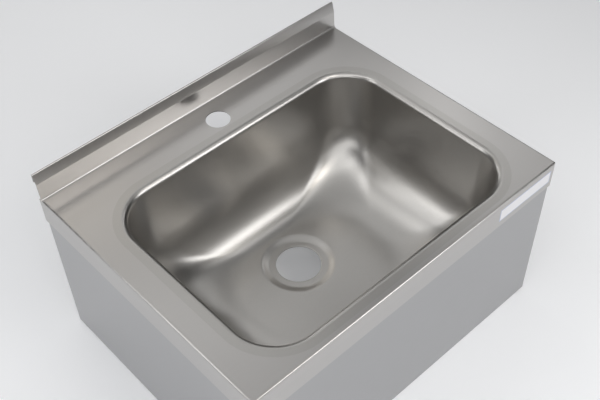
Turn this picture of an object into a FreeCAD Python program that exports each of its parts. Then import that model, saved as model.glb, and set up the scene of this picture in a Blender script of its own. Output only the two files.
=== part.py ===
import FreeCAD, Part
import math
import os

"""Wall-hung stainless steel hand wash sink, in millimetres.

The origin is under the middle of the sink's bounding box. X runs along the front edge to the right,
Y runs from the front (-) to the wall (+), and Z is up. The casing's bottom edge lies at Z = 0.
"""

V = FreeCAD.Vector
X_AXIS = V(1, 0, 0)
Y_AXIS = V(0, 1, 0)
Z_AXIS = V(0, 0, 1)

# Overall size
WIDTH = 500.0
DEPTH = 400.0
TOP = 250.0
UPSTAND_HEIGHT = 40.0
SIDE = WIDTH / 2
FRONT = -DEPTH / 2
WALL = DEPTH / 2

# Worktop: one folded sheet
SHEET = 1.2
APRON_DROP = 40.0
TOP_FOLD = 2.0
UPSTAND_FACE = FRONT + 392.5
UPSTAND_BEND = 2.4
UPSTAND_LEAN = 1.2
BEVEL_START = 25.5
BEVEL_BEND = 0.5
CREST_WIDTH = 2.6
CREST_LIP = 13.0
APRON_END = WALL - 2.0

# Tap hole and its stiffening plate
TAP_Y = FRONT + 356.0
TAP_RADIUS = 16.5
TAP_PLATE_X = 96.0
TAP_PLATE_Y = 46.0
TAP_PLATE_SHEET = 2.0
TAP_PLATE_HOLE = 21.0

# Bowl: one deep-drawn sheet. Half sizes are of the mouth's inner wall, just under the rim.
# The bend at the bottom is a quarter ellipse, longer towards the short sides
BOWL_SHEET = 1.0
BOWL_X = 0.0
BOWL_Y = FRONT + 172.0
MOUTH_HALF_X = 202.0
MOUTH_HALF_Y = 147.0
RIM_RADIUS = 8.0
FLANGE = 10.0
WALL_DRAFT = math.radians(4.2)
WALL_ACROSS = BOWL_SHEET / math.cos(WALL_DRAFT)
RIM_BAND_Z = TOP - 10.0
FLOOR_Z = 86.0
MOUTH_CORNER = 57.0
FLOOR_CORNER = 84.0
BEND_HEIGHT = 80.0
BEND_REACH_X = 88.0
BEND_REACH_Y = 50.0
BEND_STEPS = 9

# Waste hole in its stepped recess
WASTE_Y = FRONT + 205.0
WASTE_RADIUS = 31.0
RECESS_RADIUS = 52.0
RECESS_SHOULDER_RADIUS = 50.0
RECESS_SEAT_RADIUS = 43.0
RECESS_STEP = 4.0

# Casing: a U-shaped sheet inside the apron
CASING_SHEET = 1.0
CASING_SETBACK = 1.5
CASING_BEND = 2.0
CASING_REAR = WALL - 2.2
REAR_FLANGE = 25.0
TOP_FLANGE = 22.0
FRONT_TOP_FLANGE = 10.0
BOTTOM_RETURN = 18.0
FLANGE_GAP = 1.5
CASING_FOLD = CASING_BEND + CASING_SHEET
CASING_SIDE = SIDE - CASING_SETBACK
CASING_FRONT = FRONT + CASING_SETBACK
CASING_TOP = TOP - SHEET

# Fasteners, nominal M6, and their clearance holes
STUD_RADIUS = 3.0
STUD_LENGTH = 15.0
STUD_HOLE_RADIUS = 3.5
WASHER_RADIUS = 6.0
WASHER_HOLE = 3.2
WASHER_SHEET = 1.6
NUT_ACROSS_FLATS = 10.0
NUT_HEIGHT = 5.0
NUT_HOLE = 3.1
ROUND_SIDES = 14
CASING_STUD_X = SIDE - 13.0
CASING_STUD_YS = [-130.0, 130.0]

# Wall brackets: angles on two studs each, with two wall screw holes
BRACKET_X = 180.0
BRACKET_WIDTH = 60.0
BRACKET_SHEET = 3.0
BRACKET_BEND = 3.0
BRACKET_FRONT = WALL - 50.0
BRACKET_BOTTOM = TOP - 98.0
BRACKET_STUD_Y = WALL - 32.0
BRACKET_STUD_SPREAD = 14.0
GUSSET_SHEET = 3.0
GUSSET_LEG = 40.0
GUSSET_DROP = 70.0
GUSSET_TOE = 5.0
SCREW_HOLE_RADIUS = 4.5
UPPER_SCREW_Z = 215.0
LOWER_SCREW_Z = 175.0
CASING_SCREW_X = 236.0
CASING_SCREW_Z = 80.0

# Low tie spot-welded between the casing's rear flanges
CROSSBAR_SHEET = 1.5
CROSSBAR_BOTTOM = 10.0
CROSSBAR_HEIGHT = 35.0
CROSSBAR_FLANGE = 12.0
CROSSBAR_HALF_LENGTH = 244.0

# Anti-drumming pads on the bowl's walls
PAD_SHEET = 2.0
PAD_HEIGHT = 62.0
PAD_TOP = TOP - 22.0
LONG_PAD = 190.0
SHORT_PAD = 110.0

# Equipotential bonding point on the casing's bottom return
EARTH_X = 239.0
EARTH_Y = 150.0
EARTH_TAG_SHEET = 0.8
EARTH_TAG_WIDTH = 8.0
EARTH_TAG_LENGTH = 16.0

# Blank label on the front apron
LABEL_LEFT = 145.0
LABEL_RIGHT = 243.0
LABEL_BOTTOM = TOP - 30.0
LABEL_TOP = TOP - 10.0
LABEL_FILM = 0.1


# Outlines and sheets

def rounded_wire(corners, radii):
    """Closed wire through coplanar corners, each rounded by its own radius. A radius of 0 is sharp."""
    stops = []
    for index, corner in enumerate(corners):
        radius = radii[index]
        if radius == 0:
            stops.append((corner, None, corner))
            continue
        back = (corners[index - 1] - corner).normalize()
        ahead = (corners[(index + 1) % len(corners)] - corner).normalize()
        half_angle = back.getAngle(ahead) / 2
        run = radius / math.tan(half_angle)
        middle = corner + (back + ahead).normalize() * (radius / math.sin(half_angle) - radius)
        stops.append((corner + back * run, middle, corner + ahead * run))
    edges = []
    for index, (enter, middle, leave) in enumerate(stops):
        if middle:
            edges.append(Part.Arc(enter, middle, leave).toShape())
        following = stops[(index + 1) % len(stops)][0]
        if leave.distanceToPoint(following) > 1e-6:
            edges.append(Part.LineSegment(leave, following).toShape())
    return Part.Wire(edges)


def rectangle_corners(center, half_x, half_y):
    """Corners of a level rectangle about a centre, from the front left one, seen from above."""
    signs = [(-1, -1), (1, -1), (1, 1), (-1, 1)]
    return [center + V(half_x * sx, half_y * sy, 0) for sx, sy in signs]


def rounded_plate(center, half_x, half_y, radius, thickness):
    """Level plate with rounded corners. The centre lies on its lower face."""
    outline = rounded_wire(rectangle_corners(center, half_x, half_y), [radius] * 4)
    return Part.Face(outline).extrude(Z_AXIS * thickness)


def fold_wire(path, thickness, bends, axis):
    """Closed outline of a folded sheet.

    One skin follows the path. The other lies to its left, seen with the axis towards the viewer.
    The bends are the inside radii of the folds, one for each inner point of the path.
    """
    steps = [(after - before).normalize() for before, after in zip(path, path[1:])]
    lefts = [axis.cross(step) for step in steps]
    other = [path[0] + lefts[0] * thickness]
    radii = [0.0]
    other_radii = [0.0]
    for index in range(1, len(path) - 1):
        first = lefts[index - 1]
        second = lefts[index]
        mitre = (first + second) * (thickness / (1 + first.dot(second)))
        other.append(path[index] + mitre)
        inside = bends[index - 1]
        outside = inside + thickness
        turns_left = steps[index - 1].cross(steps[index]).dot(axis) > 0
        radii.append(outside if turns_left else inside)
        other_radii.append(inside if turns_left else outside)
    other.append(path[-1] + lefts[-1] * thickness)
    radii.append(0.0)
    other_radii.append(0.0)
    return rounded_wire(path + other[::-1], radii + other_radii[::-1])


def folded_sheet(path, thickness, bends, axis, length):
    """Folded sheet whose section follows the path, drawn out along the axis."""
    return Part.Face(fold_wire(path, thickness, bends, axis)).extrude(axis * length)


def upright_hole(x, y, radius, low, high):
    """Cylinder that cuts a vertical hole."""
    return Part.makeCylinder(radius, high - low, V(x, y, low), Z_AXIS)


def upright_prism(x, y, radius, low, high, sides):
    """Regular prism whose corners lie on a radius: a nut, or the plain round of a small fastener."""
    turns = [2 * math.pi * side / sides for side in range(sides)]
    points = [V(x + radius * math.cos(turn), y + radius * math.sin(turn), low) for turn in turns]
    return Part.Face(Part.makePolygon(points + points[:1])).extrude(Z_AXIS * (high - low))


def wall_hole(x, z, radius, front, rear):
    """Cylinder that cuts a hole through an upright sheet parallel to the wall."""
    return Part.makeCylinder(radius, rear - front, V(x, front, z), Y_AXIS)


# Worktop

def worktop_cover():
    """Flat top with its apron on three sides, open at the back and below."""
    length = APRON_END - FRONT
    outer = Part.makeBox(WIDTH, length, APRON_DROP, V(-SIDE, FRONT, TOP - APRON_DROP))
    folds = []
    for edge in outer.Edges:
        middle = edge.CenterOfMass
        at_top = abs(middle.z - TOP) < 1e-6
        if at_top and middle.y < APRON_END - 1:
            folds.append(edge)
    outer = outer.makeFillet(TOP_FOLD, folds)
    low = V(-SIDE + SHEET, FRONT + SHEET, TOP - APRON_DROP - 1)
    inner = Part.makeBox(WIDTH - 2 * SHEET, length, APRON_DROP + 1 - SHEET, low)
    return outer.cut(inner)


def upstand():
    """Sheet turned up along the back, with a bevelled crest and a lip folded down to the wall."""
    crest = TOP + UPSTAND_HEIGHT
    path = [
        V(SIDE, UPSTAND_FACE - UPSTAND_BEND, TOP),
        V(SIDE, UPSTAND_FACE, TOP),
        V(SIDE, UPSTAND_FACE + UPSTAND_LEAN, TOP + BEVEL_START),
        V(SIDE, WALL - CREST_WIDTH, crest),
        V(SIDE, WALL, crest),
        V(SIDE, WALL, crest - CREST_LIP),
    ]
    bends = [UPSTAND_BEND, BEVEL_BEND, 0, 0]
    return folded_sheet(path, SHEET, bends, -X_AXIS, WIDTH)


def make_worktop():
    """Folded top sheet with the bowl's cut-out and the tap hole."""
    bend_start = UPSTAND_FACE - UPSTAND_BEND
    behind = Part.makeBox(WIDTH, WALL - bend_start, SHEET + 1, V(-SIDE, bend_start, TOP - SHEET))
    sheet = worktop_cover().cut(behind).fuse(upstand())
    grow = RIM_RADIUS + FLANGE
    under = V(BOWL_X, BOWL_Y, TOP - 5)
    opening = rounded_plate(under, MOUTH_HALF_X + grow, MOUTH_HALF_Y + grow, MOUTH_CORNER + grow, 10)
    sheet = sheet.cut(opening)
    sheet = sheet.cut(upright_hole(0, TAP_Y, TAP_RADIUS, TOP - 5, TOP + 5))
    return sheet.removeSplitter()


# Bowl

def wall_inset(z):
    """How far the bowl's inner wall stands inside its mouth, at a height below the rim."""
    rim_end = RIM_RADIUS * (1 - math.cos(WALL_DRAFT))
    rim_end_z = TOP - RIM_RADIUS + RIM_RADIUS * math.sin(WALL_DRAFT)
    return (rim_end_z - z) * math.tan(WALL_DRAFT) - rim_end


def rim_section(x, half_across):
    """Section of the rim on the side that faces -Y: flange, bend and the top of the drafted wall.

    The hidden side of the bend is two flats.
    """
    turns = [0, (math.pi / 2 - WALL_DRAFT) / 2, math.pi / 2 - WALL_DRAFT]

    def skin(radius, foot):
        bend = []
        for turn in turns:
            outward = RIM_RADIUS - radius * math.sin(turn)
            bend.append(V(x, -half_across - outward, TOP - RIM_RADIUS + radius * math.cos(turn)))
        edge = V(x, -half_across - RIM_RADIUS - FLANGE, bend[0].z)
        return edge, bend, V(x, foot - half_across, RIM_BAND_Z)

    inset = wall_inset(RIM_BAND_Z)
    inner_edge, inner_bend, inner_foot = skin(RIM_RADIUS, inset)
    outer_edge, outer_bend, outer_foot = skin(RIM_RADIUS - BOWL_SHEET, inset - WALL_ACROSS)
    edges = [
        Part.LineSegment(inner_edge, inner_bend[0]),
        Part.Arc(*inner_bend),
        Part.LineSegment(inner_bend[2], inner_foot),
        Part.LineSegment(inner_foot, outer_foot),
        Part.LineSegment(outer_foot, outer_bend[2]),
        Part.LineSegment(outer_bend[2], outer_bend[1]),
        Part.LineSegment(outer_bend[1], outer_bend[0]),
        Part.LineSegment(outer_bend[0], outer_edge),
        Part.LineSegment(outer_edge, inner_edge),
    ]
    return Part.Face(Part.Wire([edge.toShape() for edge in edges]))


def bowl_rim():
    """The rim's section drawn along each side of the mouth and turned about each corner."""
    pieces = []
    for side in range(4):
        halves = (MOUTH_HALF_X, MOUTH_HALF_Y) if side % 2 == 0 else (MOUTH_HALF_Y, MOUTH_HALF_X)
        along = halves[0] - MOUTH_CORNER
        straight = rim_section(-along, halves[1]).extrude(X_AXIS * 2 * along)
        center = V(along, MOUTH_CORNER - halves[1], 0)
        round_corner = rim_section(along, halves[1]).revolve(center, Z_AXIS, 90)
        for piece in (straight, round_corner):
            piece.rotate(V(0, 0, 0), Z_AXIS, 90 * side)
            piece.translate(V(BOWL_X, BOWL_Y, 0))
            pieces.append(piece)
    return pieces


def bowl_outline(z, bend_share, corner, across):
    """Level outline of the bowl's skin: the inner one, or the outer one that stands outside it."""
    inset = wall_inset(max(z, FLOOR_Z))
    half_x = MOUTH_HALF_X - inset - BEND_REACH_X * bend_share + across * (1 - bend_share)
    half_y = MOUTH_HALF_Y - inset - BEND_REACH_Y * bend_share + across * (1 - bend_share)
    radius = corner + across * (1 - bend_share)
    return rounded_wire(rectangle_corners(V(BOWL_X, BOWL_Y, z), half_x, half_y), [radius] * 4)


def bowl_form(sheet):
    """Solid form of the bowl below its rim, inside the inner skin or, with the sheet, the outer one."""
    across = WALL_ACROSS if sheet else 0
    bend_top = FLOOR_Z + BEND_HEIGHT
    upper = bowl_outline(RIM_BAND_Z, 0, MOUTH_CORNER - wall_inset(RIM_BAND_Z), across)
    outlines = []
    for step in range(BEND_STEPS + 1):
        turn = math.pi / 2 * step / BEND_STEPS
        share = 1 - math.cos(turn)
        z = bend_top - (BEND_HEIGHT + sheet) * math.sin(turn)
        corner = MOUTH_CORNER + (FLOOR_CORNER - MOUTH_CORNER) * share
        outlines.append(bowl_outline(z, share, corner, across))
    wall = Part.makeLoft([upper, outlines[0]], True, True)
    bend = Part.makeLoft(outlines, True, True)
    return wall, bend


def bowl_shell():
    """Wall, bottom bend and flat floor of the bowl, with the hole that the waste recess fills."""
    outer_wall, outer_bend = bowl_form(BOWL_SHEET)
    inner_wall, inner_bend = bowl_form(0)
    hole = upright_hole(BOWL_X, WASTE_Y, RECESS_RADIUS, FLOOR_Z - 10, FLOOR_Z + 10)
    return [outer_wall.cut(inner_wall), outer_bend.cut(inner_bend).cut(hole)]


def waste_recess():
    """Stepped ring around the waste hole: shoulder, slope and flat seat."""
    seat = FLOOR_Z - RECESS_STEP
    skin = [
        V(BOWL_X + RECESS_RADIUS, WASTE_Y, FLOOR_Z),
        V(BOWL_X + RECESS_SHOULDER_RADIUS, WASTE_Y, FLOOR_Z),
        V(BOWL_X + RECESS_SEAT_RADIUS, WASTE_Y, seat),
        V(BOWL_X + WASTE_RADIUS, WASTE_Y, seat),
    ]
    under = [point - Z_AXIS * BOWL_SHEET for point in skin[::-1]]
    section = Part.Face(Part.makePolygon(skin + under + skin[:1]))
    return section.revolve(V(BOWL_X, WASTE_Y, 0), Z_AXIS, 360)


def make_bowl():
    """Deep-drawn bowl: flange, rim, wall, bottom bend, floor and waste recess in one sheet."""
    return waste_recess().fuse(bowl_rim() + bowl_shell()).removeSplitter()


# Casing

def casing_wall():
    """Front, sides and rear flanges, folded from one strip and cut short for the edge flanges."""
    inner_reach = CASING_SIDE - REAR_FLANGE
    path = [
        V(-inner_reach, CASING_REAR, CASING_FOLD),
        V(-CASING_SIDE, CASING_REAR, CASING_FOLD),
        V(-CASING_SIDE, CASING_FRONT, CASING_FOLD),
        V(CASING_SIDE, CASING_FRONT, CASING_FOLD),
        V(CASING_SIDE, CASING_REAR, CASING_FOLD),
        V(inner_reach, CASING_REAR, CASING_FOLD),
    ]
    height = CASING_TOP - 2 * CASING_FOLD
    return folded_sheet(path, CASING_SHEET, [CASING_BEND] * 4, Z_AXIS, height)


def edge_flange(foot, up, inwards, reach, along, length):
    """Flange turned inwards at the end of an upright sheet. The foot is the fold's outer corner."""
    path = [foot - up * CASING_FOLD, foot, foot + inwards * reach]
    turns_left = up.cross(inwards).dot(along) > 0
    if not turns_left:
        path.reverse()
    return folded_sheet(path, CASING_SHEET, [CASING_BEND], along, length)


def edge_flanges(z, up, side_reach, front_reach):
    """The two side flanges and the front flange at one end of the casing, notched at the corners."""
    side_start = CASING_FRONT + CASING_FOLD
    side_length = CASING_REAR - CASING_FOLD - side_start
    front_half = CASING_SIDE - side_reach - FLANGE_GAP
    front_foot = V(-front_half, CASING_FRONT, z)
    flanges = [edge_flange(front_foot, up, Y_AXIS, front_reach, X_AXIS, 2 * front_half)]
    for hand in (-1, 1):
        foot = V(hand * CASING_SIDE, side_start, z)
        flanges.append(edge_flange(foot, up, X_AXIS * -hand, side_reach, Y_AXIS, side_length))
    return flanges


def make_casing():
    """U-shaped casing: walls, flanges, and the holes for studs and wall screws."""
    shape = casing_wall()
    shape = shape.fuse(edge_flanges(CASING_TOP, Z_AXIS, TOP_FLANGE, FRONT_TOP_FLANGE))
    shape = shape.fuse(edge_flanges(0, -Z_AXIS, BOTTOM_RETURN, BOTTOM_RETURN))
    holes = []
    for x, y in casing_stud_places():
        holes.append(stud_hole(x, y))
    for hand in (-1, 1):
        x = hand * CASING_SCREW_X
        holes.append(wall_hole(x, CASING_SCREW_Z, SCREW_HOLE_RADIUS, CASING_REAR - 5, WALL))
    return shape.cut(holes)


# Fasteners

def casing_stud_places():
    """Plan places of the studs that hold the casing."""
    return [(hand * CASING_STUD_X, y) for hand in (-1, 1) for y in CASING_STUD_YS]


def bracket_stud_places():
    """Plan places of the studs that hold the wall brackets."""
    places = []
    for hand in (-1, 1):
        for shift in (-BRACKET_STUD_SPREAD, BRACKET_STUD_SPREAD):
            places.append((hand * BRACKET_X + shift, BRACKET_STUD_Y))
    return places


def stud_hole(x, y):
    """Prism that cuts the clearance hole for a stud under the top."""
    return upright_prism(x, y, STUD_HOLE_RADIUS, CASING_TOP - STUD_LENGTH, CASING_TOP + 1, ROUND_SIDES)


def studs(places, top):
    """Plain weld studs that hang from a level face."""
    shapes = []
    for x, y in places:
        shapes.append(upright_prism(x, y, STUD_RADIUS, top - STUD_LENGTH, top, ROUND_SIDES))
    return Part.makeCompound(shapes)


def washers(places, top):
    """Flat washers whose upper faces lie at the given height."""
    low = top - WASHER_SHEET
    shapes = []
    for x, y in places:
        disc = upright_prism(x, y, WASHER_RADIUS, low, top, ROUND_SIDES)
        shapes.append(disc.cut(upright_prism(x, y, WASHER_HOLE, low, top, ROUND_SIDES)))
    return Part.makeCompound(shapes)


def nuts(places, top):
    """Hexagon nuts whose upper faces lie at the given height."""
    low = top - NUT_HEIGHT
    corner = NUT_ACROSS_FLATS / 2 / math.cos(math.pi / 6)
    shapes = []
    for x, y in places:
        hexagon = upright_prism(x, y, corner, low, top, 6)
        shapes.append(hexagon.cut(upright_prism(x, y, NUT_HOLE, low, top, ROUND_SIDES)))
    return Part.makeCompound(shapes)


# Wall brackets

def make_bracket(hand):
    """Angle with a gusset at its inner edge, holes for two studs and holes for two wall screws."""
    left = hand * BRACKET_X - BRACKET_WIDTH / 2
    path = [
        V(left, BRACKET_FRONT, CASING_TOP),
        V(left, WALL, CASING_TOP),
        V(left, WALL, BRACKET_BOTTOM),
    ]
    angle = folded_sheet(path[::-1], BRACKET_SHEET, [BRACKET_BEND], X_AXIS, BRACKET_WIDTH)
    inner_top = CASING_TOP - BRACKET_SHEET
    inner_wall = WALL - BRACKET_SHEET
    gusset_x = left if hand > 0 else left + BRACKET_WIDTH - GUSSET_SHEET
    corners = [
        V(gusset_x, inner_wall, inner_top),
        V(gusset_x, inner_wall - GUSSET_LEG, inner_top),
        V(gusset_x, inner_wall - GUSSET_LEG, inner_top - GUSSET_TOE),
        V(gusset_x, inner_wall - GUSSET_TOE, inner_top - GUSSET_DROP),
        V(gusset_x, inner_wall, inner_top - GUSSET_DROP),
    ]
    gusset = Part.Face(Part.makePolygon(corners + corners[:1])).extrude(X_AXIS * GUSSET_SHEET)
    shape = angle.fuse(gusset)
    holes = []
    for x, y in bracket_stud_places():
        if x * hand > 0:
            holes.append(stud_hole(x, y))
    for z in (UPPER_SCREW_Z, LOWER_SCREW_Z):
        holes.append(wall_hole(hand * BRACKET_X, z, SCREW_HOLE_RADIUS, inner_wall - 1, WALL + 1))
    return shape.cut(holes)


# Crossbar

def make_crossbar():
    """Channel between the rear flanges, welded to their inner faces."""
    rear = CASING_REAR - CASING_SHEET
    front = rear - CROSSBAR_FLANGE
    top = CROSSBAR_BOTTOM + CROSSBAR_HEIGHT
    path = [
        V(-CROSSBAR_HALF_LENGTH, front, CROSSBAR_BOTTOM),
        V(-CROSSBAR_HALF_LENGTH, rear, CROSSBAR_BOTTOM),
        V(-CROSSBAR_HALF_LENGTH, rear, top),
        V(-CROSSBAR_HALF_LENGTH, front, top),
    ]
    bends = [CROSSBAR_SHEET] * 2
    return folded_sheet(path, CROSSBAR_SHEET, bends, X_AXIS, 2 * CROSSBAR_HALF_LENGTH)


# Small pieces

def make_tap_plate():
    """Stiffening plate spot-welded under the tap hole, with a larger hole."""
    low = TOP - SHEET - TAP_PLATE_SHEET
    corner = V(-TAP_PLATE_X / 2, TAP_Y - TAP_PLATE_Y / 2, low)
    plate = Part.makeBox(TAP_PLATE_X, TAP_PLATE_Y, TAP_PLATE_SHEET, corner)
    return plate.cut(upright_prism(0, TAP_Y, TAP_PLATE_HOLE, low - 1, TOP, 2 * ROUND_SIDES))


def make_pad(turn, half_mouth, length):
    """Pad on one wall of the bowl. The turn about Z carries it from the front to its own wall."""
    pad = Part.makeBox(length, PAD_SHEET, PAD_HEIGHT, V(-length / 2, -PAD_SHEET, -PAD_HEIGHT / 2))
    middle_z = PAD_TOP - PAD_HEIGHT / 2 * math.cos(WALL_DRAFT)
    skin = half_mouth - wall_inset(middle_z) + BOWL_SHEET / math.cos(WALL_DRAFT)
    pad.rotate(V(0, 0, 0), X_AXIS, math.degrees(WALL_DRAFT))
    pad.translate(V(0, -skin, middle_z))
    pad.rotate(V(0, 0, 0), Z_AXIS, turn)
    pad.translate(V(BOWL_X, BOWL_Y, 0))
    return pad


def make_earth_stud():
    """Stud welded to the bottom return, pointing up."""
    return upright_prism(EARTH_X, EARTH_Y, STUD_RADIUS, CASING_SHEET, CASING_SHEET + STUD_LENGTH, ROUND_SIDES)


def make_earth_tag():
    """Crimped lug: a round eye on the stud and a straight tail."""
    top = CASING_SHEET + EARTH_TAG_SHEET
    eye = upright_prism(EARTH_X, EARTH_Y, WASHER_RADIUS, CASING_SHEET, top, ROUND_SIDES)
    low = V(EARTH_X - EARTH_TAG_WIDTH / 2, EARTH_Y - EARTH_TAG_LENGTH, CASING_SHEET)
    tail = Part.makeBox(EARTH_TAG_WIDTH, EARTH_TAG_LENGTH, EARTH_TAG_SHEET, low)
    hole = upright_prism(EARTH_X, EARTH_Y, WASHER_HOLE, CASING_SHEET, top, ROUND_SIDES)
    return eye.fuse(tail).cut(hole).removeSplitter()


def make_label():
    """Blank label film on the front apron."""
    corner = V(LABEL_LEFT, FRONT - LABEL_FILM, LABEL_BOTTOM)
    return Part.makeBox(LABEL_RIGHT - LABEL_LEFT, LABEL_FILM, LABEL_TOP - LABEL_BOTTOM, corner)


def make_parts():
    """Every node of the sink by name."""
    casing_washer_top = CASING_TOP - CASING_SHEET
    bracket_washer_top = CASING_TOP - BRACKET_SHEET
    earth_point = [(EARTH_X, EARTH_Y)]
    earth_washer_top = CASING_SHEET + EARTH_TAG_SHEET + WASHER_SHEET
    return {
        "worktop": make_worktop(),
        "bowl": make_bowl(),
        "casing": make_casing(),
        "tap_plate": make_tap_plate(),
        "casing_studs": studs(casing_stud_places(), CASING_TOP),
        "casing_washers": washers(casing_stud_places(), casing_washer_top),
        "casing_nuts": nuts(casing_stud_places(), casing_washer_top - WASHER_SHEET),
        "wall_bracket_left": make_bracket(-1),
        "wall_bracket_right": make_bracket(1),
        "bracket_studs": studs(bracket_stud_places(), CASING_TOP),
        "bracket_washers": washers(bracket_stud_places(), bracket_washer_top),
        "bracket_nuts": nuts(bracket_stud_places(), bracket_washer_top - WASHER_SHEET),
        "rear_crossbar": make_crossbar(),
        "sound_pad_front": make_pad(0, MOUTH_HALF_Y, LONG_PAD),
        "sound_pad_right": make_pad(90, MOUTH_HALF_X, SHORT_PAD),
        "sound_pad_rear": make_pad(180, MOUTH_HALF_Y, LONG_PAD),
        "sound_pad_left": make_pad(270, MOUTH_HALF_X, SHORT_PAD),
        "earth_stud": make_earth_stud(),
        "earth_tag": make_earth_tag(),
        "earth_washer": washers(earth_point, earth_washer_top),
        "earth_nut": nuts(earth_point, earth_washer_top + NUT_HEIGHT),
        "blank_label": make_label(),
    }


def main():
    """Build every node and write it to its own file."""
    os.makedirs("parts", exist_ok=True)
    for name, shape in make_parts().items():
        print(name, shape.isValid(), len(shape.Solids), round(shape.Volume))
        shape.exportStep("parts/" + name + ".step")


if __name__ == "__main__":
    main()
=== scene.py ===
"""Looks of the stainless steel hand wash sink.

Sizes are in millimetres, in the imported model's frame: X along the front edge, Y from the front to
the wall, Z up. Meshes are written out in metres.
"""

import logging
import math
from dataclasses import dataclass
from enum import Enum

import bmesh
import bpy
from mathutils import Matrix, Vector
from mathutils.geometry import delaunay_2d_cdt


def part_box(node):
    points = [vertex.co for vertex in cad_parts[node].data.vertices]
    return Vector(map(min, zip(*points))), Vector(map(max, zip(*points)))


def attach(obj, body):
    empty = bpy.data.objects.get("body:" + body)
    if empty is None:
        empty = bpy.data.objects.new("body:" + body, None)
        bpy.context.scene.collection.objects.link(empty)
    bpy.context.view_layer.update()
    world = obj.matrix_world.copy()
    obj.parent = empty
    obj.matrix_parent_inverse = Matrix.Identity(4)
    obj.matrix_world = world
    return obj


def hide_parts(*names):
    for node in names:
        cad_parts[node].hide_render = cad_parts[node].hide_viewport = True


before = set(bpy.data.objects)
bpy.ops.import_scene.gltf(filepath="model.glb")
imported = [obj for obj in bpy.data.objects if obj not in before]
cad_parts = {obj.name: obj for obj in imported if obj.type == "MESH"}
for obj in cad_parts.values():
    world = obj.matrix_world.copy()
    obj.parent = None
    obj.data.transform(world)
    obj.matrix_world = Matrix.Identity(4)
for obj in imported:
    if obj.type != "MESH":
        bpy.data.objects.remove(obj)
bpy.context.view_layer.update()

LOG = logging.getLogger("sink")
Point = tuple[float, float, float]
Flat = tuple[float, float]

MM = 0.001
QUARTER = math.pi / 2

# Driving sizes of the sink, which its classes share
WIDTH = 500.0
DEPTH = 400.0
TOP = 250.0
UPSTAND_HEIGHT = 40.0


# Colour and nodes

def linear(hex_colour: str, alpha: float = 1.0) -> tuple[float, float, float, float]:
    """Turn an sRGB hex colour into linear RGBA.

    Args:
        hex_colour: six hex digits, with or without a leading hash.
        alpha: the fourth channel.

    Returns:
        The colour in scene-linear values.
    """
    digits = hex_colour.lstrip("#")
    channels = []
    for start in (0, 2, 4):
        value = int(digits[start:start + 2], 16) / 255
        channels.append(value / 12.92 if value <= 0.04045 else ((value + 0.055) / 1.055) ** 2.4)
    return channels[0], channels[1], channels[2], alpha


def add_node(tree: bpy.types.NodeTree, kind: str, inputs: dict | None = None,
             **settings: object) -> bpy.types.Node:
    """Add a node with its settings, values and links.

    Args:
        tree: the node tree.
        kind: the node's type name.
        inputs: socket name or index, with a value or an output socket to link.
        settings: the node's own properties.

    Returns:
        The new node.
    """
    node = tree.nodes.new(kind)
    for name, value in settings.items():
        setattr(node, name, value)
    for key, value in (inputs or {}).items():
        if isinstance(value, bpy.types.NodeSocket):
            tree.links.new(value, node.inputs[key])
        else:
            node.inputs[key].default_value = value
    return node


def empty_material(name: str) -> bpy.types.Material:
    """Make a material with an empty node tree.

    Args:
        name: the material's name.

    Returns:
        The new material.
    """
    material = bpy.data.materials.new(name)
    material.use_nodes = True
    material.node_tree.nodes.clear()
    return material


# Finishes

# A noise texture's values mostly keep between these two
NOISE_LOW = 0.3
NOISE_HIGH = 0.7


class Grain(Enum):
    """Direction in which a surface was ground: 1 on the axis that its scratches follow."""

    ALONG_X = (1, 0, 0)
    ALL_ROUND = (0, 0, 0)


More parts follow.
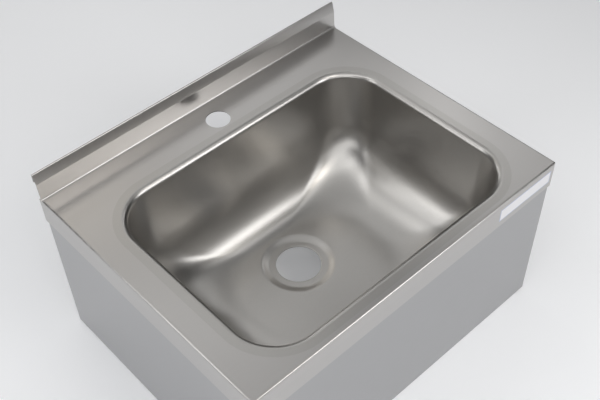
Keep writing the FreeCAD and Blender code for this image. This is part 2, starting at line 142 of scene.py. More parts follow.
@dataclass(frozen=True)
class SatinMetal:
    """Bare metal with a satin surface, from fine abrasive belts, buffs, rolls or dies.

    The metal mirrors the room softly: the fine scratches blur it, and the sheet's slight waves bend it.
    """

    name: str
    colour: str
    roughness: float
    grain: Grain
    grain_width_mm: float = 0.5
    grain_length_mm: float = 45.0
    buff_mark_mm: float = 2.5
    grain_depth_mm: float = 0.00006
    grain_shade: float = 0.94
    gloss_change: float = 0.02
    wave_mm: float = 130.0
    wave_depth_mm: float = 0.03

    def material(self) -> bpy.types.Material:
        """Build the finish.

        The belt's scratches are about 0.05 mm wide. They are drawn ten times as wide, because finer
        ones don't show in the render. A buff leaves short marks that cross each other, which show as
        faint spots.

        Returns:
            The material.
        """
        made = empty_material(self.name)
        tree = made.node_tree
        place = add_node(tree, "ShaderNodeTexCoord").outputs["Object"]
        if self.grain is Grain.ALL_ROUND:
            marks = (self.buff_mark_mm,) * 3
        else:
            marks = tuple(self.grain_length_mm if axis else self.grain_width_mm for axis in self.grain.value)
        scale = tuple(1 / (mark * MM) for mark in marks)
        ground = add_node(tree, "ShaderNodeMapping", {"Vector": place, "Scale": scale})
        scratches = add_node(tree, "ShaderNodeTexNoise", {
            "Vector": ground.outputs["Vector"], "Scale": 1.0, "Detail": 3.0, "Roughness": 0.65})
        waves = add_node(tree, "ShaderNodeTexNoise", {
            "Vector": place, "Scale": 1 / (self.wave_mm * MM), "Detail": 1.0, "Roughness": 0.4})
        gloss = add_node(tree, "ShaderNodeMapRange", {
            "Value": scratches.outputs["Fac"], "From Min": NOISE_LOW, "From Max": NOISE_HIGH,
            "To Min": self.roughness - self.gloss_change, "To Max": self.roughness + self.gloss_change})
        light = linear(self.colour)
        dark = tuple(self.grain_shade * channel for channel in light[:3]) + (1.0,)
        tone = add_node(tree, "ShaderNodeMix", {
            "Factor": scratches.outputs["Fac"], "A": light, "B": dark}, data_type="RGBA")
        bend = add_node(tree, "ShaderNodeBump", {
            "Height": waves.outputs["Fac"], "Strength": 1.0, "Distance": self.wave_depth_mm * MM})
        rough = add_node(tree, "ShaderNodeBump", {
            "Height": scratches.outputs["Fac"], "Strength": 1.0, "Distance": self.grain_depth_mm * MM,
            "Normal": bend.outputs["Normal"]})
        shader = add_node(tree, "ShaderNodeBsdfPrincipled", {
            "Base Color": tone.outputs[2], "Metallic": 1.0, "Roughness": gloss.outputs["Result"],
            "Normal": rough.outputs["Normal"]})
        add_node(tree, "ShaderNodeOutputMaterial", {"Surface": shader.outputs["BSDF"]})
        return made


@dataclass(frozen=True)
class RolledRubber:
    """Filled rubber sheet, rolled and die cut: matt black with a fine pebbled skin."""

    name: str = "rolled_rubber_sheet"
    colour: str = "#262626"
    dusty_colour: str = "#343434"
    roughness: float = 0.75
    pebble_mm: float = 1.6
    pebble_depth_mm: float = 0.12

    def material(self) -> bpy.types.Material:
        """Build the finish: pebbles in the relief, and dust that greys their tops.

        Returns:
            The material.
        """
        made = empty_material(self.name)
        tree = made.node_tree
        place = add_node(tree, "ShaderNodeTexCoord").outputs["Object"]
        pebbles = add_node(tree, "ShaderNodeTexVoronoi", {
            "Vector": place, "Scale": 1 / (self.pebble_mm * MM)}, feature="SMOOTH_F1")
        tone = add_node(tree, "ShaderNodeMix", {
            "Factor": pebbles.outputs["Distance"], "A": linear(self.dusty_colour),
            "B": linear(self.colour)}, data_type="RGBA")
        relief = add_node(tree, "ShaderNodeBump", {
            "Height": pebbles.outputs["Distance"], "Distance": self.pebble_depth_mm * MM}, invert=True)
        shader = add_node(tree, "ShaderNodeBsdfPrincipled", {
            "Base Color": tone.outputs[2], "Roughness": self.roughness, "Normal": relief.outputs["Normal"]})
        add_node(tree, "ShaderNodeOutputMaterial", {"Surface": shader.outputs["BSDF"]})
        return made


@dataclass(frozen=True)
class PolyesterFilm:
    """Polyester label film, stretched to a smooth skin: off-white, a little glossy, with a pale border."""

    name: str = "polyester_film"
    colour: str = "#E9E9EC"
    border: str = "#B9C0D6"
    roughness: float = 0.32
    border_mm: float = 1.4

    def material(self) -> bpy.types.Material:
        """Build the finish. The border follows the label's own box.

        Returns:
            The material.
        """
        made = empty_material(self.name)
        tree = made.node_tree
        low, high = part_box("blank_label")
        middle = (low + high) / 2
        half = (high - low) / 2
        place = add_node(tree, "ShaderNodeTexCoord").outputs["Object"]
        split = add_node(tree, "ShaderNodeSeparateXYZ", {"Vector": place})
        in_border = []
        for axis in (0, 2):
            offset = add_node(tree, "ShaderNodeMath", {0: split.outputs[axis], 1: middle[axis]},
                              operation="SUBTRACT")
            distance = add_node(tree, "ShaderNodeMath", {0: offset.outputs[0]}, operation="ABSOLUTE")
            edge = half[axis] - self.border_mm * MM
            beyond = add_node(tree, "ShaderNodeMath", {0: distance.outputs[0], 1: edge},
                              operation="GREATER_THAN")
            in_border.append(beyond.outputs[0])
        border = add_node(tree, "ShaderNodeMath", {0: in_border[0], 1: in_border[1]}, operation="MAXIMUM")
        tone = add_node(tree, "ShaderNodeMix", {
            "Factor": border.outputs[0], "A": linear(self.colour), "B": linear(self.border)},
            data_type="RGBA")
        shader = add_node(tree, "ShaderNodeBsdfPrincipled", {
            "Base Color": tone.outputs[2], "Roughness": self.roughness})
        add_node(tree, "ShaderNodeOutputMaterial", {"Surface": shader.outputs["BSDF"]})
        return made


# Stainless 1.4301 ground on a fine belt along its length: a quiet, slightly warm grey whose scratches
# are almost lost, so the top shows only broad, soft bands of light.
WORKTOP_STEEL = SatinMetal("ground_stainless_worktop", "#BEBCBA", 0.30, Grain.ALONG_X)

# Deep-drawn stainless buffed on all sides: no line of grain, and the draw's slight unevenness bends the
# highlights, so they wander a little along the bends. It is the worktop's steel, but its colour is drawn a
# little darker as painted shade for the bowl's dark inside.
BOWL_STEEL = SatinMetal("buffed_stainless_bowl_painted_shade", "#B7B5B2", 0.31, Grain.ALL_ROUND, wave_mm=70.0,
                        wave_depth_mm=0.06)

# Stainless sheet ground along its length and folded: flat and even, a little darker and cooler.
CASING_STEEL = SatinMetal("ground_stainless_casing", "#AEAEAF", 0.30, Grain.ALONG_X)

# Stainless as it leaves the rolls, pickled and left bare: duller, with no clear mirror image.
BRACKET_STEEL = SatinMetal("mill_finish_stainless", "#BDBDBC", 0.42, Grain.ALL_ROUND)

# Stainless fasteners formed cold between polished dies: the glossiest metal on the sink.
FASTENER_STEEL = SatinMetal("cold_headed_stainless", "#C6C6C6", 0.24, Grain.ALL_ROUND)

# Copper dipped in tin: a soft, faintly yellow white.
TINNED_COPPER = SatinMetal("tinned_copper", "#D3D0C8", 0.36, Grain.ALL_ROUND)

Finish = SatinMetal | RolledRubber | PolyesterFilm


# Meshes

# Points nearer to each other than this become one
SAME_POINT_MM = 0.001


class SheetMesh:
    """Points and faces of one piece, collected in millimetres."""

    def __init__(self) -> None:
        """Start with no points and no faces."""
        self.points: list[Point] = []
        self.faces: list[tuple[int, ...]] = []

    def ring(self, points: list[Point]) -> list[int]:
        """Add a row of points.

        Args:
            points: the points.

        Returns:
            Their numbers.
        """
        first = len(self.points)
        self.points.extend(points)
        return list(range(first, len(self.points)))

    def bridge(self, lower: list[int], upper: list[int], closed: bool = True) -> None:
        """Join two rows of equal length with quads.

        Args:
            lower: point numbers of the first row.
            upper: point numbers of the second row.
            closed: whether the rows close on themselves.
        """
        count = len(lower)
        for index in range(count if closed else count - 1):
            after = (index + 1) % count
            self.faces.append((lower[index], lower[after], upper[after], upper[index]))

    def stack(self, rows: list[list[Point]], closed: bool = True) -> list[list[int]]:
        """Add rows of points and join each with the next.

        Args:
            rows: rows of equal length.
            closed: whether each row closes on itself.

        Returns:
            The point numbers of every row.
        """
        rings = [self.ring(row) for row in rows]
        for lower, upper in zip(rings, rings[1:]):
            self.bridge(lower, upper, closed)
        return rings

    def to_object(self, name: str, sharp_degrees: float = 32.0) -> bpy.types.Object:
        """Write the piece out in metres, with its faces turned outwards, shaded smooth between sharp edges.

        Args:
            name: the object's name.
            sharp_degrees: folds steeper than this stay sharp.

        Returns:
            The new object.
        """
        mesh = bpy.data.meshes.new(name)
        mesh.from_pydata([tuple(MM * value for value in point) for point in self.points], [], self.faces)
        mesh.validate()
        shell = bmesh.new()
        shell.from_mesh(mesh)
        bmesh.ops.remove_doubles(shell, verts=shell.verts, dist=SAME_POINT_MM * MM)
        # The flat top's two skins end at the upstand in an open ring of four edges, closed here
        bmesh.ops.holes_fill(shell, edges=shell.edges, sides=4)
        bmesh.ops.recalc_face_normals(shell, faces=shell.faces)
        shell.to_mesh(mesh)
        shell.free()
        mesh.shade_smooth()
        mesh.set_sharp_from_angle(angle=math.radians(sharp_degrees))
        made = bpy.data.objects.new(name, mesh)
        bpy.context.scene.collection.objects.link(made)
        return made


def arc(center: Flat, radius: float, start: float, end: float, steps: int) -> list[Flat]:
    """Points of an arc from one angle to another, both ends included.

    Args:
        center: its middle.
        radius: its radius.
        start: first angle, in radians.
        end: last angle.
        steps: facets between them.

    Returns:
        The points.
    """
    turns = [start + (end - start) * step / steps for step in range(steps + 1)]
    return [(center[0] + radius * math.cos(turn), center[1] + radius * math.sin(turn)) for turn in turns]


def between(first: float, last: float, steps: int) -> list[float]:
    """Space values evenly between two, both included."""
    return [first + (last - first) * step / steps for step in range(steps + 1)]


def skin_normals(rows: list[list[Point]]) -> list[list[Vector]]:
    """Normals of a skin, from the points around each one.

    Args:
        rows: the skin's rows of points, each closed on itself.

    Returns:
        A normal for each point, out of the visible side.
    """
    normals = []
    for index, row in enumerate(rows):
        before = rows[max(index - 1, 0)]
        after = rows[min(index + 1, len(rows) - 1)]
        line = []
        for column in range(len(row)):
            along = Vector(row[(column + 1) % len(row)]) - Vector(row[column - 1])
            down = Vector(after[column]) - Vector(before[column])
            line.append(along.cross(down).normalized())
        normals.append(line)
    return normals


def place_piece(piece: bpy.types.Object, node: str, finish: Finish) -> None:
    """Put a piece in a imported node's place.

    Args:
        piece: the new piece.
        node: the node that it stands for.
        finish: its finish.
    """
    piece.data.materials.append(finish.material())
    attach(piece, "root")
    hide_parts(node)
    LOG.info("built %s for %s, in %s", piece.name, node, finish.name)


# Bowl

@dataclass
class DrawnBowl:
    """Deep-drawn bowl: flange, rolled rim, steep walls, elliptical bottom bend, flat floor, recess.

    The upright corners open out with depth, from the mouth's radius to the floor's, so the bend runs
    smoothly through them.
    """

    finish: Finish = BOWL_STEEL
    sheet: float = 1.0

    # In plan: the mouth's middle, half its length and width, and the corners at mouth and floor
    center: Flat = (0.0, -28.0)
    mouth_half: Flat = (202.0, 147.0)
    mouth_corner: float = 57.0
    deep_corner: float = 84.0

    # Rim and flange, with a row of points just outside the roll that keeps the flange flat
    top: float = TOP
    rim_radius: float = 8.0
    flange: float = 10.0
    flat_margin: float = 0.6

    # Wall and bottom bend, which reaches further in from the short sides than from the long ones
    draft: float = math.radians(4.2)
    floor: float = 86.0
    bend_height: float = 80.0
    bend_reach: Flat = (88.0, 50.0)

    # Recess and waste hole, whose upper edge is eased outwards and downwards
    waste: Flat = (0.0, 5.0)
    waste_radius: float = 31.0
    recess_radius: float = 52.0
    seat_radius: float = 39.0
    recess_step: float = 3.0
    hole_edge: Flat = (0.4, 0.35)
    hole_bevel: float = 0.1

    # Facets: the straight sides along X and along Y, each corner, then down the section
    side_steps: tuple[int, int] = (44, 32)
    corner_steps: int = 26
    rim_steps: int = 14
    wall_steps: int = 10
    bend_steps: int = 44
    floor_steps: int = 20
    recess_steps: int = 12
    seat_steps: int = 3

    def outline(self, insets: Flat, corner: float) -> list[Flat]:
        """Level rounded rectangle of the bowl, with a fixed number of points.

        Args:
            insets: how far its sides stand inside the mouth, along X and along Y.
            corner: its corner radius.

        Returns:
            Its points, counter-clockwise from the front left.
        """
        half_x = self.mouth_half[0] - insets[0] - corner
        half_y = self.mouth_half[1] - insets[1] - corner
        centers = [(-half_x, -half_y), (half_x, -half_y), (half_x, half_y), (-half_x, half_y)]
        points: list[Flat] = []
        for side, (x, y) in enumerate(centers):
            start = math.pi + side * QUARTER
            end = start + QUARTER
            points += arc((x, y), corner, start, end, self.corner_steps)[:-1]
            next_x, next_y = centers[(side + 1) % 4]
            steps = self.side_steps[side % 2]
            for step in range(steps):
                share = step / steps
                points.append((x + (next_x - x) * share + corner * math.cos(end),
                               y + (next_y - y) * share + corner * math.sin(end)))
        return [(x + self.center[0], y + self.center[1]) for x, y in points]

    def mouth(self) -> list[Flat]:
        """Outline of the flange's edge, which fills the worktop's opening."""
        edge = -self.rim_radius - self.flange
        return self.outline((edge, edge), self.mouth_corner - edge)

    def wall_inset(self, z: float) -> float:
        """How far the drafted wall stands inside the mouth at a height."""
        rim_end = self.rim_radius * (1 - math.cos(self.draft))
        return (self.rim_end_z() - z) * math.tan(self.draft) - rim_end

    def rim_end_z(self) -> float:
        """Height at which the rolled rim ends and the wall begins."""
        return self.top - self.rim_radius * (1 - math.sin(self.draft))

    def skin(self) -> list[list[Point]]:
        """Rows of the visible skin, from the flange's edge to the waste hole's edge.

        The bend at the bottom is a quarter ellipse, longer towards the short sides, and it is added to
        the wall's draft, so wall, bend and floor run into each other without a step.

        Returns:
            The rows, all with the same number of points.
        """
        rows: list[list[Point]] = []
        rim = arc((-self.rim_radius, self.top - self.rim_radius), self.rim_radius,
                  QUARTER, self.draft, self.rim_steps)
        edge = [(-self.rim_radius - self.flange, self.top), (-self.rim_radius - self.flat_margin, self.top)]
        for inset, z in edge + rim:
            rows.append([(x, y, z) for x, y in self.outline((inset, inset), self.mouth_corner - inset)])
        bend_z = self.floor + self.bend_height
        for z in between(self.rim_end_z(), bend_z, self.wall_steps)[1:-1]:
            inset = self.wall_inset(z)
            rows.append([(x, y, z) for x, y in self.outline((inset, inset), self.mouth_corner)])
        for turn in between(0.0, QUARTER, self.bend_steps):
            z = bend_z - self.bend_height * math.sin(turn)
            inset = self.wall_inset(z)
            inward = 1 - math.cos(turn)
            insets = (inset + self.bend_reach[0] * inward, inset + self.bend_reach[1] * inward)
            corner = self.mouth_corner + (self.deep_corner - self.mouth_corner) * inward
            rows.append([(x, y, z) for x, y in self.outline(insets, corner)])
        last = rows[-1]
        angles = [math.atan2(y - self.waste[1], x - self.waste[0]) for x, y, _ in last]
        for share in between(0.0, 1.0, self.floor_steps)[1:]:
            rows.append(self.floor_row(last, angles, share))
        return rows + self.recess(angles)

    def floor_row(self, last: list[Point], angles: list[float], share: float) -> list[Point]:
        """Row of the floor, part of the way from the bend to the recess.

        Args:
            last: the bend's last row.
            angles: direction of each of its points from the waste hole's middle.
            share: 0 at the bend, 1 at the recess.

        Returns:
            The row's points.
        """
        row = []
        for (x, y, z), turn in zip(last, angles):
            round_x = self.waste[0] + self.recess_radius * math.cos(turn)
            round_y = self.waste[1] + self.recess_radius * math.sin(turn)
            row.append((x + (round_x - x) * share, y + (round_y - y) * share, z))
        return row

    def recess(self, angles: list[float]) -> list[list[Point]]:
        """Rows down the recess to the edge of the waste hole.

        The slope is an S curve, which is level at both ends, and the hole's edge is eased.

        Args:
            angles: direction of each point from the waste hole's middle.

        Returns:
            The rows.
        """
        seat = self.floor - self.recess_step
        path = []
        for share in between(0.0, 1.0, self.recess_steps)[1:]:
            path.append((self.recess_radius + (self.seat_radius - self.recess_radius) * share,
                         self.floor - self.recess_step * share * share * (3 - 2 * share)))
        brink = self.waste_radius + self.hole_edge[0]
        path += [(radius, seat) for radius in between(self.seat_radius, brink, self.seat_steps)[1:]]
        path += [(self.waste_radius + self.hole_bevel, seat - self.hole_bevel),
                 (self.waste_radius, seat - self.hole_edge[1])]
        return [[(self.waste[0] + radius * math.cos(turn), self.waste[1] + radius * math.sin(turn), z)
                 for turn in angles] for radius, z in path]

    def build(self) -> bpy.types.Object:
        """Build the bowl as a closed sheet: its visible skin, and the same skin moved back.

        Returns:
            The bowl.
        """
        mesh = SheetMesh()
        skin = self.skin()
        under = []
        for row, normals in zip(skin, skin_normals(skin)):
            under.append([tuple(Vector(point) - normal * self.sheet) for point, normal in zip(row, normals)])
        under[-1] = [(x, y, self.floor - self.recess_step - self.sheet) for x, y, _ in skin[-1]]
        under[0] = [(x, y, z - self.sheet) for x, y, z in skin[0]]
        mesh.stack(skin + under[::-1] + [skin[0]])
        return mesh.to_object("drawn_bowl")

    def dress(self, piece: bpy.types.Object) -> None:
        """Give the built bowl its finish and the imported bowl's place."""
        place_piece(piece, "bowl", self.finish)


# Worktop

# Settings of the triangulation: only triangles within the outlines, and points this near (mm) are one
INSIDE_ONLY = 1
SAME_PLACE = 1e-6


@dataclass
class FoldedWorktop:
    """Worktop folded from one sheet: flat top, apron on three sides, upstand with a bevelled crest."""

    finish: Finish = WORKTOP_STEEL
    sheet: float = 1.2
    half_width: float = WIDTH / 2
    front: float = -DEPTH / 2
    wall: float = DEPTH / 2
    top: float = TOP

    # Apron, with its folds, a row of points that keeps the top flat beside them, and its lower edge
    apron: float = 40.0
    apron_end: float = 198.0
    corner_radius: float = 2.4
    fold_radius: float = 2.0
    flat_margin: float = 0.3
    edge_bevel: float = 0.3

    # Upstand: the inside radii of its folds go from the worktop up to the crest and over it
    upstand_face: float = 192.5
    upstand_lean: float = 1.2
    upstand_bends: tuple[float, float, float, float] = (2.4, 0.6, 0.25, 0.25)
    bevel_start: float = 25.5
    crest: float = TOP + UPSTAND_HEIGHT
    crest_width: float = 2.6
    crest_lip: float = 13.0

    tap: Flat = (0.0, 156.0)
    tap_radius: float = 16.5

    # Facets, those of the fold on its outside and its inside
    side_steps: int = 12
    front_steps: int = 16
    corner_steps: int = 8
    fold_steps: tuple[int, int] = (8, 5)
    apron_steps: int = 5
    tap_steps: int = 64
    upstand_steps: int = 40
    sharp_degrees: float = 28.0

    def fold_line(self) -> float:
        """Y of the line at which the flat top starts to bend up into the upstand."""
        return self.upstand_face - self.upstand_bends[0]

    def u_row(self, inset: float, z: float) -> list[Point]:
        """Row of points along the left, front and right edges.

        Args:
            inset: how far it stands in from the outside.
            z: its height.

        Returns:
            Its points, from the rear left to the rear right.
        """
        radius = self.corner_radius - inset
        rear = self.fold_line()
        side = self.half_width - self.corner_radius
        y = self.front + self.corner_radius
        left = [(-side - radius, at) for at in between(rear, y, self.side_steps)]
        bend_left = arc((-side, y), radius, 2 * QUARTER, 3 * QUARTER, self.corner_steps)[1:-1]
        front = [(at, y - radius) for at in between(-side, side, self.front_steps)]
        bend_right = arc((side, y), radius, 3 * QUARTER, 4 * QUARTER, self.corner_steps)[1:-1]
        right = [(side + radius, at) for at in between(y, rear, self.side_steps)]
        return [(x, at, z) for x, at in left + bend_left + front + bend_right + right]

    def skirt(self) -> list[list[Point]]:
        """Rows of the fold and the apron, on both skins.

        Returns:
            The rows, from the flat top down the outside, round the lower edge and back up the inside.
        """
        radius = self.fold_radius
        fold = self.top - radius
        bottom = self.top - self.apron
        bevel = self.edge_bevel
        outer_arc = arc((0.0, fold), radius, QUARTER, 0.0, self.fold_steps[0])
        inner_arc = arc((0.0, fold), radius - self.sheet, 0.0, QUARTER, self.fold_steps[1])
        outside = [(radius + self.flat_margin, self.top)]
        outside += [(radius - at, z) for at, z in outer_arc]
        outside += [(0.0, z) for z in between(fold, bottom + bevel, self.apron_steps)[1:]]
        edge = [(bevel, bottom), (self.sheet - bevel, bottom)]
        inside = [(self.sheet, z) for z in between(bottom + bevel, fold, self.apron_steps)]
        inside += [(radius - at, z) for at, z in inner_arc[1:]]
        inside += [(radius + self.flat_margin, self.top - self.sheet)]
        return [self.u_row(inset, z) for inset, z in outside + edge + inside]

    def build(self, opening: list[Flat]) -> bpy.types.Object:
        """Build the worktop.

        Args:
            opening: outline of the cut-out that the bowl is welded into, in plan.

        Returns:
            The worktop.
        """
        mesh = SheetMesh()
        rings = mesh.stack(self.skirt(), closed=False)
        mesh.faces.append(tuple(ring[0] for ring in rings))
        mesh.faces.append(tuple(ring[-1] for ring in reversed(rings)))
        self.plate(mesh, (rings[0], rings[-1]), opening)
        self.tabs(mesh)
        self.upstand(mesh)
        return mesh.to_object("folded_worktop", self.sharp_degrees)

    def dress(self, piece: bpy.types.Object) -> None:
        """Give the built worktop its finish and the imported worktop's place."""
        place_piece(piece, "worktop", self.finish)

    def plate(self, mesh: SheetMesh, rims: tuple[list[int], list[int]], opening: list[Flat]) -> None:
        """Fill the flat top between the skirt, the bowl's opening and the tap hole, on both skins.

        Args:
            mesh: the worktop's mesh.
            rims: the skirt's rows on the upper and on the lower skin.
            opening: the bowl's opening in plan.
        """
        tap = arc(self.tap, self.tap_radius, 0.0, 4 * QUARTER, self.tap_steps)[:-1]
        outer = [mesh.points[index][:2] for index in rims[0]]
        flat, triangles = fill_plan([outer, opening, tap])
        kept = [corners for corners in triangles if not self.in_hole([flat[at] for at in corners], opening)]
        numbers = []
        for rim, z in zip(rims, (self.top, self.top - self.sheet)):
            known = {plan_key(mesh.points[index]): index for index in rim}
            for x, y in flat:
                if plan_key((x, y)) not in known:
                    known[plan_key((x, y))] = mesh.ring([(x, y, z)])[0]
            numbers.append(known)
        upper, lower = numbers
        for corners in kept:
            keys = [plan_key(flat[at]) for at in corners]
            mesh.faces.append(tuple(upper[key] for key in keys))
            mesh.faces.append(tuple(lower[key] for key in reversed(keys)))
        for loop in (opening, tap):
            keys = [plan_key(point) for point in loop]
            mesh.bridge([upper[key] for key in keys], [lower[key] for key in keys])

    def in_hole(self, corners: list[Flat], opening: list[Flat]) -> bool:
        """Whether a triangle's middle lies in the tap hole or in the bowl's opening.

        Args:
            corners: the triangle's corners.
            opening: outline of the bowl's opening.

        Returns:
            True where it lies in either.
        """
        x = sum(corner[0] for corner in corners) / len(corners)
        y = sum(corner[1] for corner in corners) / len(corners)
        if math.hypot(x - self.tap[0], y - self.tap[1]) < self.tap_radius:
            return True
        inside = False
        for (ax, ay), (bx, by) in zip(opening, opening[1:] + opening[:1]):
            if (ay > y) != (by > y) and x < (bx - ax) * (y - ay) / (by - ay) + ax:
                inside = not inside
        return inside

    def tabs(self, mesh: SheetMesh) -> None:
        """Add the ends of the apron's sides, which run on under the upstand.

        Args:
            mesh: the worktop's mesh.
        """
        bottom = self.top - self.apron
        under = self.top - self.sheet
        for hand in (-1, 1):
            outside = hand * self.half_width
            inside = hand * (self.half_width - self.sheet)
            section = [(outside, bottom), (outside, under), (inside, under), (inside, bottom)]
            if hand > 0:
                section.reverse()
            ends = mesh.stack([[(x, y, z) for x, z in section] for y in (self.fold_line(), self.apron_end)])
            mesh.faces.append(tuple(ends[0][::-1]))
            mesh.faces.append(tuple(ends[1]))

    def upstand(self, mesh: SheetMesh) -> None:
        """Add the sheet turned up along the back, with its bevel, crest and lip.

        Args:
            mesh: the worktop's mesh.
        """
        path = [
            (self.fold_line(), self.top),
            (self.upstand_face, self.top),
            (self.upstand_face + self.upstand_lean, self.top + self.bevel_start),
            (self.wall - self.crest_width, self.crest),
            (self.wall, self.crest),
            (self.wall, self.crest - self.crest_lip),
        ]
        outline = fold_outline(path, self.sheet, self.upstand_bends)
        stations = between(-self.half_width, self.half_width, self.upstand_steps)
        rings = mesh.stack([[(x, y, z) for y, z in outline] for x in stations])
        mesh.faces.append(tuple(rings[0][::-1]))
        mesh.faces.append(tuple(rings[-1]))


def plan_key(point: Point | Flat) -> tuple[int, int]:
    """Place of a point in plan, rounded so that equal points get equal keys."""
    return round(point[0] / SAME_POINT_MM), round(point[1] / SAME_POINT_MM)


def fill_plan(loops: list[list[Flat]]) -> tuple[list[Flat], list[list[int]]]:
    """Fill the area within closed outlines with triangles, also where one lies in another.

    Args:
        loops: the outlines, which don't cross.

    Returns:
        The points, and the point numbers of each triangle.
    """
    edges = []
    for loop in loops:
        start = len(edges)
        edges += [(start + index, start + (index + 1) % len(loop)) for index in range(len(loop))]
    points = [Vector(point) for loop in loops for point in loop]
    solved = delaunay_2d_cdt(points, edges, [], INSIDE_ONLY, SAME_PLACE)
    return [tuple(point) for point in solved[0]], solved[2]


def fold_outline(path: list[Flat], sheet: float, bends: tuple[float, ...], steps: int = 6) -> list[Flat]:
    """Closed outline of a folded sheet's section.

    Args:
        path: corners of the visible skin. The sheet lies to the right of it.
        sheet: its thickness.
        bends: inside radius of each fold.
        steps: facets of each fold.

    Returns:
        The outline's points.
    """
    line = [Vector(point) for point in path]
    along = [(after - before).normalized() for before, after in zip(line, line[1:])]
    right = [Vector((step.y, -step.x)) for step in along]
    skin = [line[0]]
    back = [line[0] + right[0] * sheet]
    for index in range(1, len(line) - 1):
        mitre = (right[index - 1] + right[index]) / (1 + right[index - 1].dot(right[index]))
        turns_left = along[index - 1].cross(along[index]) > 0
        inside = bends[index - 1]
        near, far = (inside, inside + sheet) if turns_left else (inside + sheet, inside)
        arms = (along[index - 1], along[index])
        skin += rounded_corner(line[index], arms, near, steps)
        back += rounded_corner(line[index] + mitre * sheet, arms, far, steps)
    skin.append(line[-1])
    back.append(line[-1] + right[-1] * sheet)
    return [tuple(point) for point in skin + back[::-1]]


def rounded_corner(corner: Vector, arms: tuple[Vector, Vector], radius: float, steps: int) -> list[Vector]:
    """Round a corner between an arriving and a leaving direction.

    Args:
        corner: where the two lines meet.
        arms: the arriving and the leaving direction.
        radius: radius of the arc.
        steps: its facets.

    Returns:
        The arc's points, both ends included.
    """
    turn = arms[0].angle_signed(arms[1])
    run = radius * math.tan(abs(turn) / 2)
    start = corner - arms[0] * run
    side = 1 if arms[0].cross(arms[1]) > 0 else -1
    normal = Vector((-arms[0].y, arms[0].x)) * side
    center = start + normal * radius
    points = []
    for share in between(0.0, 1.0, steps):
        swing = abs(turn) * share
        points.append(center - normal * radius * math.cos(swing) + arms[0] * radius * math.sin(swing))
    return points


# Studio

@dataclass(frozen=True)
class PhotoCamera:
    """Camera of the photograph, solved from the sink's straight edges."""

    location: Point = (-541.2, -604.6, 1072.2)
    azimuth: float = math.radians(40.57)
    elevation: float = math.radians(47.79)
    roll: float = math.radians(-2.53)
    lens: float = 56.2
    sensor: float = 36.0
    shift: Flat = (0.0232, 0.0328)

    def build(self) -> None:
        """Create the camera and make it the scene's own."""
        forward = Vector((math.sin(self.azimuth) * math.cos(self.elevation),
                          math.cos(self.azimuth) * math.cos(self.elevation),
                          -math.sin(self.elevation)))
        level = forward.cross(Vector((0, 0, 1))).normalized()
        upright = level.cross(forward)
        right = level * math.cos(self.roll) + upright * math.sin(self.roll)
        up = right.cross(forward)
        data = bpy.data.cameras.new("photo_camera")
        data.lens = self.lens
        data.sensor_width = self.sensor
        data.shift_x, data.shift_y = self.shift
        camera = bpy.data.objects.new("photo_camera", data)
        pose = Matrix((right, up, -forward)).transposed().to_4x4()
        pose.translation = Vector(self.location) * MM
        camera.matrix_world = pose
        bpy.context.scene.collection.objects.link(camera)
        bpy.context.scene.camera = camera


@dataclass(frozen=True)
class Softbox:
    """Flat soft lamp on a dome round the sink, turned to its middle.

    Its angles are in degrees: where it stands, and how wide and high it looks from the sink. The azimuth
    is measured from the wall side (+Y) towards the right (+X).
    """

    name: str
    azimuth: float
    elevation: float
    wide: float
    high: float
    glow: float
    colour: str = "#FFFFFF"
    dome: float = 1600.0
    aim_height: float = 200.0

    def build(self) -> None:
        """Create the lamp. Its glow is the brightness of its face, which stays as its size changes."""
        data = bpy.data.lights.new(self.name, "AREA")
        data.shape = "RECTANGLE"
        data.size = 2 * self.dome * MM * math.tan(math.radians(self.wide / 2))
        data.size_y = 2 * self.dome * MM * math.tan(math.radians(self.high / 2))
        data.energy = self.glow * math.pi * data.size * data.size_y
        data.color = linear(self.colour)[:3]
        turn, lift = math.radians(self.azimuth), math.radians(self.elevation)
        out = Vector((math.sin(turn) * math.cos(lift), math.cos(turn) * math.cos(lift), math.sin(lift)))
        lamp = bpy.data.objects.new(self.name, data)
        lamp.location = (Vector((0.0, 0.0, self.aim_height)) + out * self.dome) * MM
        lamp.rotation_euler = (-out).to_track_quat("-Z", "Y").to_euler()
        bpy.context.scene.collection.objects.link(lamp)


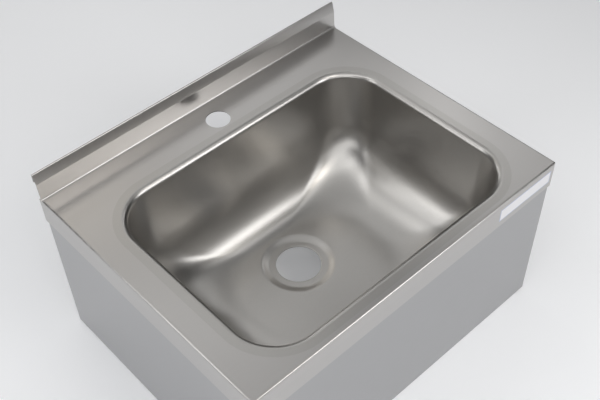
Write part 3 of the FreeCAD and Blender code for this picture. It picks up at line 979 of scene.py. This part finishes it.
@dataclass(frozen=True)
class Studio:
    """Plain pale floor, soft lamps and an even room."""

    floor_half: float = 6000.0
    floor_colour: str = "#ECEDEF"
    floor_roughness: float = 0.9
    floor_gloss: float = 0.1
    floor_glow: float = 0.16
    room_colour: str = "#E6E8EC"
    room_strength: float = 0.02
    lamps: tuple[Softbox, ...] = (
        # Name, azimuth, elevation, width, height, glow and colour
        Softbox("ceiling", 0, 90, 44, 44, 0.55),
        Softbox("upper_back", 13, 59, 32, 14, 0.95),
        Softbox("upper_right", 80, 58, 50, 14, 0.2),
        Softbox("upper_front", 145, 62, 40, 14, 1.1),
        Softbox("upper_front_left", 215, 60, 60, 20, 1.2),
        Softbox("upper_left", 278, 60, 40, 20, 1.2),
        Softbox("upper_back_left", 318, 58, 26, 16, 1.4),
        Softbox("front", 212, 42, 40, 18, 1.6),
        Softbox("key_front_right", 153, 26, 22, 30, 4.2),
        Softbox("key_upper", 168, 51, 18, 12, 4.2, "#FFF9F0"),
        Softbox("front_low", 205, 24, 50, 14, 1.7),
        Softbox("left_low", 245, 20, 30, 14, 2.0),
        Softbox("left_back", 292, 23, 22, 14, 3.5),
        Softbox("left_back_mid", 305, 37, 16, 12, 2.6),
        Softbox("back_left", 5, 42, 20, 10, 1.35, "#FFF9F0"),
        Softbox("back", 8, 24, 34, 18, 1.6),
        Softbox("back_right", 42, 40, 34, 16, 0.95),
        Softbox("right", 71, 41, 20, 14, 1.1),
    )

    def paper(self) -> bpy.types.Material:
        """Build the floor's matt paper.

        It glows a little where the camera, a reflection or a glass sees it. That keeps it pale, and no
        light from it falls on the sink.

        Returns:
            The material.
        """
        made = empty_material("studio_paper")
        tree = made.node_tree
        path = add_node(tree, "ShaderNodeLightPath")
        seen = path.outputs["Is Camera Ray"]
        for kind in ("Is Glossy Ray", "Is Transmission Ray"):
            larger = add_node(tree, "ShaderNodeMath", {0: seen, 1: path.outputs[kind]}, operation="MAXIMUM")
            seen = larger.outputs[0]
        glow = add_node(tree, "ShaderNodeMath", {0: seen, 1: self.floor_glow}, operation="MULTIPLY")
        lift = add_node(tree, "ShaderNodeEmission", {
            "Color": linear(self.floor_colour), "Strength": glow.outputs[0]})
        shader = add_node(tree, "ShaderNodeBsdfPrincipled", {
            "Base Color": linear(self.floor_colour), "Roughness": self.floor_roughness,
            "Specular IOR Level": self.floor_gloss})
        both = add_node(tree, "ShaderNodeAddShader", {
            0: shader.outputs["BSDF"], 1: lift.outputs["Emission"]})
        add_node(tree, "ShaderNodeOutputMaterial", {"Surface": both.outputs["Shader"]})
        return made

    def floor(self) -> None:
        """Lay the floor."""
        half = self.floor_half
        mesh = SheetMesh()
        corners = mesh.ring([(-half, -half, 0.0), (half, -half, 0.0), (half, half, 0.0), (-half, half, 0.0)])
        mesh.faces.append(tuple(corners))
        plane = mesh.to_object("studio_floor")
        plane.data.materials.append(self.paper())

    def room(self) -> None:
        """Surround the sink with a dim, even room."""
        world = bpy.data.worlds.new("studio_room")
        world.use_nodes = True
        world.node_tree.nodes.clear()
        walls = add_node(world.node_tree, "ShaderNodeBackground", {
            "Color": linear(self.room_colour), "Strength": self.room_strength})
        add_node(world.node_tree, "ShaderNodeOutputWorld", {"Surface": walls.outputs["Background"]})
        bpy.context.scene.world = world

    def build(self) -> None:
        """Create the floor, the room and the lamps."""
        self.floor()
        self.room()
        for lamp in self.lamps:
            lamp.build()
        bpy.context.scene.view_settings.view_transform = "Standard"


# Assembly

@dataclass(frozen=True)
class PackedPieces:
    """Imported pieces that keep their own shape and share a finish."""

    nodes: tuple[str, ...]
    finish: Finish

    def dress(self) -> None:
        """Give every piece the finish, in all its slots."""
        material = self.finish.material()
        for node in self.nodes:
            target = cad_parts[node]
            if not target.material_slots:
                target.data.materials.append(material)
            for slot in target.material_slots:
                slot.material = material
            LOG.info("dressed %s in %s", node, material.name)


CASING = PackedPieces(("casing",), CASING_STEEL)
BRACKETS = PackedPieces(("tap_plate", "wall_bracket_left", "wall_bracket_right", "rear_crossbar"),
                        BRACKET_STEEL)
FASTENERS = PackedPieces(("casing_studs", "casing_washers", "casing_nuts", "bracket_studs",
                          "bracket_washers", "bracket_nuts", "earth_stud", "earth_washer", "earth_nut"),
                         FASTENER_STEEL)
EARTH_TAG = PackedPieces(("earth_tag",), TINNED_COPPER)
SOUND_PADS = PackedPieces(tuple("sound_pad_" + side for side in ("front", "rear", "left", "right")),
                          RolledRubber())
LABEL = PackedPieces(("blank_label",), PolyesterFilm())


def main() -> None:
    """Build the studio and the sink."""
    PhotoCamera().build()
    Studio().build()
    bowl = DrawnBowl()
    bowl.dress(bowl.build())
    worktop = FoldedWorktop()
    worktop.dress(worktop.build(bowl.mouth()))
    for pieces in (CASING, BRACKETS, FASTENERS, EARTH_TAG, SOUND_PADS, LABEL):
        pieces.dress()


if __name__ == "__main__":
    logging.basicConfig(level=logging.INFO)
    main()
